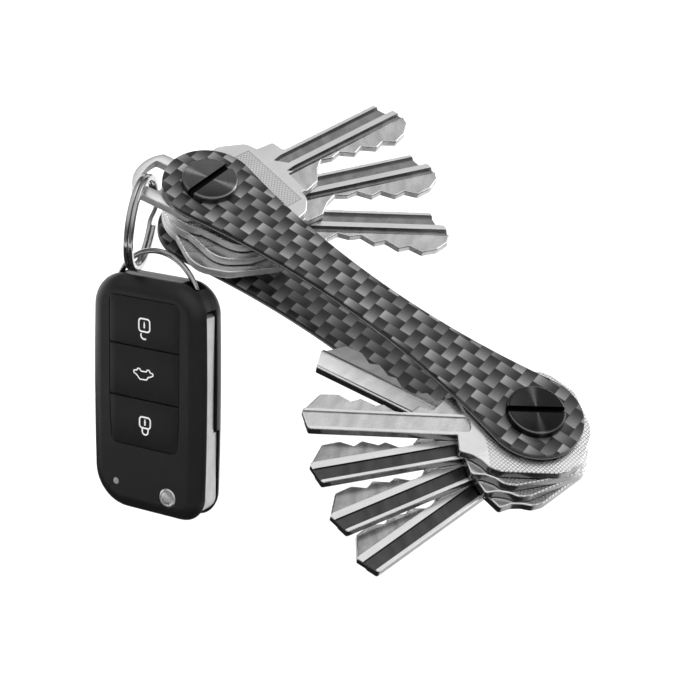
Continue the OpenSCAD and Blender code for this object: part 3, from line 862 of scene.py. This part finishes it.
def split_ring():
    """Two turns of flat wire side by side, which cross over in one place."""
    mean_r, half_r, half_w, offset = 9.4, 0.65, 0.46, 0.475
    section = rounded(rectangle(-half_r, -half_w, half_r, half_w), 0.3, 18)
    start, cross, gap, steps = 5.0, 26.0, 4.0, 300
    total = 720.0 - cross - gap
    path, frames = [], []
    for k in range(steps + 1):
        turned = total * k / steps
        t = min(1.0, max(0.0, (turned - total / 2 + cross / 2) / cross))
        side = -offset + 2 * offset * t * t * (3 - 2 * t)
        a = math.radians(start + turned)
        path.append((mean_r * math.cos(a), mean_r * math.sin(a), side))
        frames.append((Vector((math.cos(a), math.sin(a), 0)), Vector((0, 0, 1))))
    obj = swept("split_ring", path, section, frames, RING, "ring", [CHROME])
    stand_for(obj, "chrome", "split_ring")


def bail():
    """A bow of wire whose ends turn inwards as pins."""
    wire, half, pivot_z, rise, pin_end = 0.6, 10.0, -2.2, 5.2, 5.9
    height = rise - pivot_z
    r = (half * half + height * height) / (2 * height)
    lean = math.degrees(math.asin(half / r)) - 6
    pin = [(-pin_end, 0, pivot_z), (-half + 1.1, 0, pivot_z), (-half + 0.45, 0, pivot_z + 0.12),
           (-half + 0.05, 0, pivot_z + 0.55)]
    bow = [(r * math.sin(math.radians(a)), 0, rise - r + r * math.cos(math.radians(a)))
           for a in np.linspace(-lean, lean, 40)]
    path = [*pin, *bow, *((-x, 0, z) for x, _, z in reversed(pin))]
    across = Vector((0, 1, 0))
    frames = [(across, heading(path, k).cross(across).normalized()) for k in range(len(path))]
    obj = swept("fob_bail", path, circle(0, 0, wire, 18), frames, FOB, "bail", [CHROME], smooth=60)
    stand_for(obj, "chrome", "fob_bail")


split_ring()
bail()


# -------- remote: case

FOB_D, FOB_H = 9.4, 50.8
FRONT, BACK = -FOB_D / 2, FOB_D / 2
INNER_FRONT, INNER_BACK = FRONT + 1.2, BACK - 1.2
PIVOT = Vector((6.0, 0, 5.0 - FOB_H))
RELEASE_R = 2.1
LED_X, LED_Z, LED_R = -7.4, -44.7, 0.74
# centre, radius and first angle of each corner of the outline
CORNERS = [(-7.3, -7, 7, 90), (-5.9, -42.4, 8.4, 180), (8.5, -45, 5.8, 270), (7.5, -6.8, 6.8, 0)]
WAIST = 0.035


def fob_loop(d):
    """The remote's outline, moved inwards by d, seen from the front."""
    out, step = [], 7.5
    mid, half = -FOB_H / 2, FOB_H / 2
    for i, (cx, cz, r, a) in enumerate(CORNERS):
        out += arc(cx, cz, r - d, a, a + 90, step)
        nx, nz, nr, _ = CORNERS[(i + 1) % 4]
        first, last = Vector(out[-1]), Vector(arc(nx, nz, nr - d, a + 90, a + 90, step)[0])
        out += [tuple(first.lerp(last, k / 8)) for k in range(1, 8)]
    # the sides bulge a little between the corners
    return [(x * (1 - WAIST * ((z - mid) / half) ** 2), z) for x, z in out]


def half_case(name, split, outer, sign, cutters):
    """One half of the case, less the cutters. outer is the flat face's depth and sign its side."""
    depth, reach = 2.9, 3.3
    levels = [(0.0, split), (0.0, outer - sign * depth)]
    for t in (12, 24, 36, 48, 60, 70, 79, 86, 90):
        c, s = math.cos(math.radians(t)), math.sin(math.radians(t))
        levels.append((reach * (1 - c), outer - sign * depth * (1 - s)))
    verts = [(x, y, z) for d, y in levels for x, z in fob_loop(d)]
    obj = plain_object(name, verts, tube(len(levels), len(fob_loop(0))), CASE)
    for c in cutters:
        modify(obj, "BOOLEAN", operation="DIFFERENCE", solver="EXACT", object=c)
    bake(obj)
    for c in cutters:
        bpy.data.objects.remove(c)
    modify(obj, "BEVEL", width=0.09, segments=2, limit_method="ANGLE", angle_limit=math.radians(50),
           use_clamp_overlap=False, miter_outer="MITER_ARC")
    bake(obj)
    obj.data.shade_smooth()
    obj.data.set_sharp_from_angle(angle=math.radians(32))
    modify(obj, "WEIGHTED_NORMAL", keep_sharp=True, weight=90)
    bake(obj)
    mesh = obj.data
    keep_local(mesh, [tuple(v.co) for v in mesh.vertices])
    mesh.transform(Matrix.Scale(MM, 4) @ FOB)
    mesh.update()
    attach(obj, "remote")
    stand_for(obj, "case", name)


def plain_object(name, verts, faces, material):
    """A mesh in the remote's own frame, in mm, for cutting."""
    mesh = new_mesh(name, verts, faces, [material])
    cleaned(mesh, 1e-5)
    return linked(name, mesh)


def prism(loop, y0, y1):
    """A column along Y with its outline in X and Z."""
    return plain_object("cutter", [(x, y, z) for y in (y0, y1) for x, z in loop], tube(2, len(loop)), INNER)


def block(low, high):
    return prism(rectangle(low[0], low[2], high[0], high[2]), low[1], high[1])


def bore(cx, cz, r, y0, y1):
    return prism(circle(cx, cz, r, 12), y0, y1)


def modify(obj, kind, **settings):
    modifier = obj.modifiers.new(kind, kind)
    for key, value in settings.items():
        setattr(modifier, key, value)


def bake(obj):
    """Makes what obj's modifiers do part of its mesh."""
    bpy.context.view_layer.update()
    graph = bpy.context.evaluated_depsgraph_get()
    baked = bpy.data.meshes.new_from_object(obj.evaluated_get(graph), depsgraph=graph)
    obj.modifiers.clear()
    obj.data = baked


PANEL_X = 8.9
PANEL_ROWS = [-3.9, -14.3, -25.5, -36]
PANEL_FOOT = 0.5


def panel_x(z):
    """Half width of the panel, which narrows a little at its foot."""
    t = max(0.0, (PANEL_ROWS[2] - z) / (PANEL_ROWS[2] - PANEL_ROWS[3]))
    return PANEL_X - PANEL_FOOT * t * t


def panel_loop(gap, top, foot):
    """Outline of the panel, or of one button, between two heights."""
    right = [(panel_x(z) - gap, z) for z in np.linspace(top, foot, 7)]
    left = [(-x, z) for x, z in reversed(right)]
    high = 1.5 if top > PANEL_ROWS[1] else 0.12
    low = 1.7 if foot < PANEL_ROWS[2] - 1 else 0.12
    return rounded(right + left, [high, *[0] * 5, low, low, *[0] * 5, high])


def hollow():
    """Everything that the two halves leave free between them."""
    play = 0.2
    return [
        block((-12.5, INNER_FRONT, PANEL_ROWS[3] - 3), (6.8, INNER_BACK, -4.6)),
        block((6.3, -2.2, PIVOT.z), (26.3, 1.2, -5.2)),
        block((6.3, -2.2, PIVOT.z), (26.3, 2 + play, -31)),
        block((-2, -2.2, -FOB_H - 1), (38, 2 + 1.5 * play, PIVOT.z + 3.7)),
        block((-11, -1.8, -3.1), (-7.6, 1.8, 2.9)),
        block((7.6, -1.8, -3.1), (11, 1.8, 2.9)),
    ]


half_case("fob_front_shell", 0.0, FRONT, -1, hollow() + [
    prism(panel_loop(0, PANEL_ROWS[0], PANEL_ROWS[3]), FRONT - 1, INNER_FRONT + 0.5),
    bore(PIVOT.x, PIVOT.z, RELEASE_R + 0.06, FRONT - 1, 0.5),
    bore(LED_X, LED_Z, LED_R + 0.04, FRONT - 1, -2),
])
half_case("fob_back_shell", 0.02, BACK, 1, hollow() + [
    bore(PIVOT.x, PIVOT.z, 2.4, 0, INNER_BACK),
    bore(-8.8, -42.6, 1.6, INNER_BACK, BACK + 1),
])


# -------- remote: buttons

FACE = Matrix(((1, 0, 0, 0), (0, 0, -1, 0), (0, 1, 0, 0), (0, 0, 0, 1)))
BUTTON_LOW = FRONT + 1.3
CROWN = 0.1


def on_front(x, y, z):
    """A frame whose X is the remote's width, whose Y points up and whose Z points out of its front."""
    return FOB @ Matrix.Translation((x, y, z)) @ FACE


def crown_height(v):
    return CROWN * (1 - (v[:, 0] / PANEL_X) ** 2)


def panel_button(name, row):
    top, foot = PANEL_ROWS[row] - 0.1, PANEL_ROWS[row + 1] + 0.1
    lines = [([(x, foot - 1), (x, top + 1)], False) for x in (-7, -5.5, -4, -2.5, -1, 1, 2.5, 4, 5.5, 7)]
    obj = slab(name, [facing(panel_loop(0.1, top, foot), 1)], 1.3, on_front(0, BUTTON_LOW, 0),
               name[4:], [RUBBER], edge=((0, 0.14), (0.05, 0.04), (0.14, 0)),
               crown={"lines": lines, "height": crown_height}, smooth=30)
    stand_for(obj, "button_rubber", name)
    mid = (PANEL_ROWS[row] + PANEL_ROWS[row + 1]) / 2
    stem = lathe(name + "_stem", [(0, -0.5), (0.95, -0.5), (1.1, -0.35), (1.1, 0.1), (0, 0.1)],
                 on_front(-2, BUTTON_LOW, mid), name[4:], [RUBBER], 32)


def stroke(points, width, closed=False):
    """The outline loops of a line of even width along the points."""
    if closed:
        loop = facing(points, 1)
        return [inset(loop, -width / 2)], [inset(loop, width / 2)]
    left, right = [], []
    for i, p in enumerate(points):
        along = heading(points, i)
        out = Vector((-along.y, along.x)) * width / 2
        left.append(tuple(Vector(p) + out))
        right.append(tuple(Vector(p) - out))
    return [left + right[::-1]], []


def box_line(cx, cz, w, h, r):
    return rounded(rectangle(cx - w / 2, cz - h / 2, cx + w / 2, cz + h / 2), r, 12)


def pictogram(name, body, strokes, solids):
    """Printed line art on a button."""
    loops = []
    for points, width, closed in strokes:
        outer, inner = stroke(points, width, closed)
        loops += union([facing(o, 1) for o in outer], inner)
    for s in solids:
        loops += union([facing(s, 1)])
    for i, group in enumerate(grouped(loops)):
        obj = slab(f"{name}_{i + 1}", group, 0.035, on_front(0, FRONT - CROWN + 0.012, 0), body, [INK],
                   edge=((0, 0.012), (0.03, 0)), bottom_edge=((0, 0), (0.03, 0)))


def grouped(loops):
    """Each outer loop with the holes that lie inside it."""
    outers = [loop for loop in loops if area(loop) > 0]
    holes = [loop for loop in loops if area(loop) < 0]
    return [[o] + [h for h in holes if inside(np.array(h[:1], float), o)[0]] for o in outers]


for row, name in enumerate(("fob_unlock_button", "fob_boot_button", "fob_lock_button")):
    panel_button(name, row)

LINE = 0.34


def keyhole(x, z):
    """A round hole over a short flared slot."""
    slot = [(x - 0.1, z + 0.7), (x - 0.2, z - 0.65), (x + 0.2, z - 0.65), (x + 0.1, z + 0.7)]
    return union([circle(x, z + 0.1, 0.24, 30), slot])[0]


pictogram("unlock_sign", "unlock_button", [
    (box_line(0.2, -9.45, 2.75, 2.7, 0.65), LINE, True),
    (arc(0.2, -11.55, 0.85, 158, 300, 12), LINE, False),
], [keyhole(0.2, -9.4)])
pictogram("lock_sign", "lock_button", [
    (box_line(0.35, -30.35, 2.75, 2.35, 0.65), LINE, True),
    ([(-0.35, -31.6)] + arc(0.4, -32.2, 0.75, 180, 360, 15) + [(1.15, -31.6)], LINE, False),
], [keyhole(0.35, -30.3)])
CAR = [(-2.5, 0.0), (-2.35, 0.5), (-1.7, 0.55), (-1.4, 1.0), (-0.9, 1.0), (-0.65, 0.55), (0.75, 0.55),
       (1.0, 1.0), (1.5, 1.0), (1.75, 0.5), (2.4, 0.45), (2.5, 0.0), (1.9, -0.35), (1.25, -0.55), (0.85, -1.15),
       (-0.85, -1.25), (-1.35, -0.75), (-1.75, -0.35)]
pictogram("boot_sign", "boot_button", [(rounded([(x - 0.05, z - 19.85) for x, z in CAR], 0.2), 0.27, True)], [])

RELEASE_PROFILE = [(0, 2.95), (2.5, 2.95), (2.6, 3.05), (2.6, 3.35), (2.5, 3.45), (RELEASE_R, 3.45),
                   (RELEASE_R, 4.5), (2.06, 4.65), (1.94, 4.77), (1.75, 4.85), (1.6, 4.86), (1.45, 4.8),
                   (1.3, 4.79), (1.15, 4.84), (0.8, 4.86), (0.4, 4.88), (0, 4.885)]
release = lathe("fob_release_button", RELEASE_PROFILE, on_front(PIVOT.x, 0, PIVOT.z), "release_button",
                [BUTTON_CHROME], 56)
stand_for(release, "chrome", "fob_release_button")

lens = lathe("fob_led_lens", [(0, 3.2), (LED_R, 3.2), (LED_R, 4.6), (0.68, 4.67), (0.4, 4.73), (0, 4.75)],
             on_front(LED_X, 0, LED_Z), "remote", [CLEAR], 32)
stand_for(lens, "lens", "fob_led_lens")


# -------- remote: blade

def blade():
    px, pz = PIVOT.x, PIVOT.z
    inner, outer, root_top = 6.5, 13.7, -31.4
    root = [(px, pz - 3.3), (outer, pz - 3.3), (outer, root_top), (inner, root_top), (inner, pz), (px, pz)]
    root = rounded(root, [0, 4.6, 0.2, 0.2, 0, 0])
    loops = union([facing(root, 1), circle(px, pz, 3.3, 6)], [circle(px, pz, 1.1, 12)])
    rim = ((0, 0.15), (0.05, 0.05), (0.15, 0))
    obj = slab("fob_blade", loops, 4.0, on_front(0, 2, 0), "blade", [BLADE], edge=rim)
    stand_for(obj, "steel", "fob_blade")
    shaft = [(inner, root_top - 0.5), (outer, root_top - 0.5), (outer, -6.6), (outer - 0.8, -5.8),
             (inner + 3, -5.8), (inner, -8.8)]
    shaft = [facing(rounded(shaft, [0, 0, 0.3, 0.3, 0.5, 0.5]), 1)]
    groove = [milled(rectangle(inner + 2.2, root_top + 3.4, inner + 4.2, 0), 0.5, 0.25, 1)]
    shaft_obj = slab("fob_blade_shaft", shaft, 2.96, on_front(0, 0.98, 0), "blade", [BLADE, MILLED], edge=rim,
                     top=groove, bottom=groove)


blade()


# -------- remote: inside parts that stay as CAD

def keep(node, material):
    """Gives a CAD node that is not replaced its material."""
    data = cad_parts[node].data
    data.materials.clear()
    data.materials.append(material)


def circuit_board(name):
    s = Shader(name, Coat_Weight=0.3, Coat_Roughness=0.2)
    local = s.cad_local()
    fine = s.noise(local, 1.4, 3.0)
    x, y, z = s.split(local)
    lanes = s.maths("PINGPONG", s.plus(x, s.times(fine, 1.2)), 0.5)
    trace = s.spread(lanes, 0.0, 0.12, 1.0, 0.0)
    s.set("Base Color", s.mix(trace, (0.01, 0.09, 0.03, 1), (0.05, 0.2, 0.06, 1)))
    s.set("Roughness", s.spread(fine, 0.3, 0.7, 0.3, 0.45))
    s.bump(trace, 0.02 * MM)
    return s.material


def cad_metal(name, base, rough):
    s = Shader(name, Metallic=1.0)
    fine = s.noise(s.scaled(s.cad_local(), (1, 1, 5)), 2.0, 4.0)
    s.mottle(fine, base * 0.88, base * 1.08, rough - 0.06, rough + 0.08)
    s.bump(fine, 0.004 * MM)
    return s.material


keep("fob_circuit_board", circuit_board("circuit_board"))
for node, name, base, rough in (
        ("fob_battery", "battery_case", 0.62, 0.3), ("fob_release_spring", "release_spring_wire", 0.5, 0.28),
        ("fob_blade_spring", "blade_spring_wire", 0.42, 0.3), ("fob_blade_pivot", "pivot_pin", 0.6, 0.25),
        ("fob_case_screw", "case_screw", 0.08, 0.35)):
    keep(node, cad_metal(name, base, rough))


# -------- studio

def metres(v):
    return Vector(v) * MM


def staged(name, verts, faces, shader, low, high, socket="Base Color"):
    """A piece of the studio, with a faint cloud between two greys on it."""
    cloud = shader.noise(shader.node("ShaderNodeTexCoord").outputs["Object"], 3.0)
    shader.set(socket, shader.tone(shader.spread(cloud, 0.3, 0.7, low, high)))
    obj = linked(name, new_mesh(name, verts, faces, [shader.material]))
    return obj


def floor(low):
    half = 6.0
    corners = [(x, y, low) for x, y in rectangle(-half, -half, half, half)]
    staged("studio_floor", corners, [(0, 1, 2, 3)], Shader("studio_paper", Roughness=0.9), 0.93, 0.95)


def backdrop(low):
    """A white wall round the floor. It is behind the object from every side and throws no light on it."""
    steps, radius, height = 96, 1.0, 3.0
    turns = [2 * math.pi * k / steps for k in range(steps)]
    verts = [(radius * math.cos(a), radius * math.sin(a), z) for z in (low - 0.01, low + height) for a in turns]
    paper = Shader("wall_paper", Base_Color=grey(0.61), Roughness=1.0, Emission_Strength=1.0,
                   Specular_IOR_Level=0.0)
    obj = staged("studio_wall", verts, tube(2, steps)[:-2], paper, 0.98, 1.0, "Emission Color")
    obj.visible_diffuse = obj.visible_glossy = obj.visible_transmission = obj.visible_shadow = False


def softbox(name, location, target, width, height, power, mirrored=True):
    data = bpy.data.lights.new(name, "AREA")
    data.shape = "RECTANGLE"
    data.size, data.size_y = width, height
    data.energy = power
    obj = linked(name, data)
    obj.location = at = metres(location)
    obj.rotation_mode = "QUATERNION"
    obj.rotation_quaternion = (metres(target) - at).to_track_quat("-Z", "Y")
    obj.visible_glossy = mirrored


def sky():
    """An even pale surround, a little brighter overhead."""
    world = bpy.data.worlds.new("studio")
    bpy.context.scene.world = world
    world.use_nodes = True
    tree = world.node_tree
    coord = tree.nodes.new("ShaderNodeTexCoord")
    split = tree.nodes.new("ShaderNodeSeparateXYZ")
    ramp = tree.nodes.new("ShaderNodeValToRGB")
    tree.links.new(coord.outputs["Generated"], split.inputs[0])
    tree.links.new(split.outputs[2], ramp.inputs[0])
    stops = ramp.color_ramp.elements
    stops[0].color, stops[1].color = grey(0.1), grey(0.9)
    for height, value in ((0.35, 0.2), (0.77, 0.82)):
        stops.new(height).color = grey(value)
    back_light = tree.nodes["Background"]
    tree.links.new(ramp.outputs[0], back_light.inputs[0])
    back_light.inputs[1].default_value = 1.0


def dark_card(name, centre, width, height, value=0.015, lying=False):
    """A black studio flag that only gives the glossy parts something dark to reflect."""
    at = metres(centre)
    away = Vector((at.x, at.y, 0)).normalized()
    side = Vector((-away.y, away.x, 0)) * width / 2
    up = away.cross(side).normalized() * height / 2
    if lying:
        side, up = Vector((width / 2, 0, 0)), Vector((0, height / 2, 0))
    corners = [at - side - up, at + side - up, at + side + up, at - side + up]
    felt = Shader(name, Roughness=1.0, Specular_IOR_Level=0.0)
    obj = staged(name, corners, [(0, 1, 2, 3)], felt, value * 0.8, value * 1.2)
    obj.visible_camera = obj.visible_diffuse = obj.visible_shadow = False


def camera():
    data = bpy.data.cameras.new("camera")
    data.lens = 92.8
    data.sensor_width = 36.0
    data.clip_start, data.clip_end = 0.01, 20.0
    obj = linked("camera", data)
    right = Vector((0.7711, 0.6191, 0.1483))
    down = Vector((0.5581, -0.5454, -0.6253))
    ahead = Vector((-0.3063, 0.5649, -0.7662))
    turn = Matrix((right, -down, -ahead)).transposed().to_4x4()
    obj.matrix_world = Matrix.Translation(metres((111.46, -206.97, 270.14))) @ turn
    bpy.context.scene.camera = obj


visual_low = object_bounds()[0].z
floor_low = visual_low - 0.034
floor(floor_low)
backdrop(floor_low)
sky()
softbox("top", (0, 40, 900), (0, 0, 0), 1.5, 1.5, 8.0, False)
softbox("key", (-520, 60, 380), (0, 0, 0), 0.5, 0.5, 2.0, False)
softbox("rim", (180, 520, 300), (0, 0, 0), 0.4, 0.5, 1.2)
dark_card("flag_front", (-120, -520, 60), 1.1, 0.42, 0.2)
dark_card("flag_right", (560, 60, 80), 0.8, 0.36)
dark_card("flag_low", (70, -150, floor_low / MM + 0.5), 0.36, 0.27, 0.03, True)
bpy.context.scene.view_settings.view_transform = "Standard"
camera()
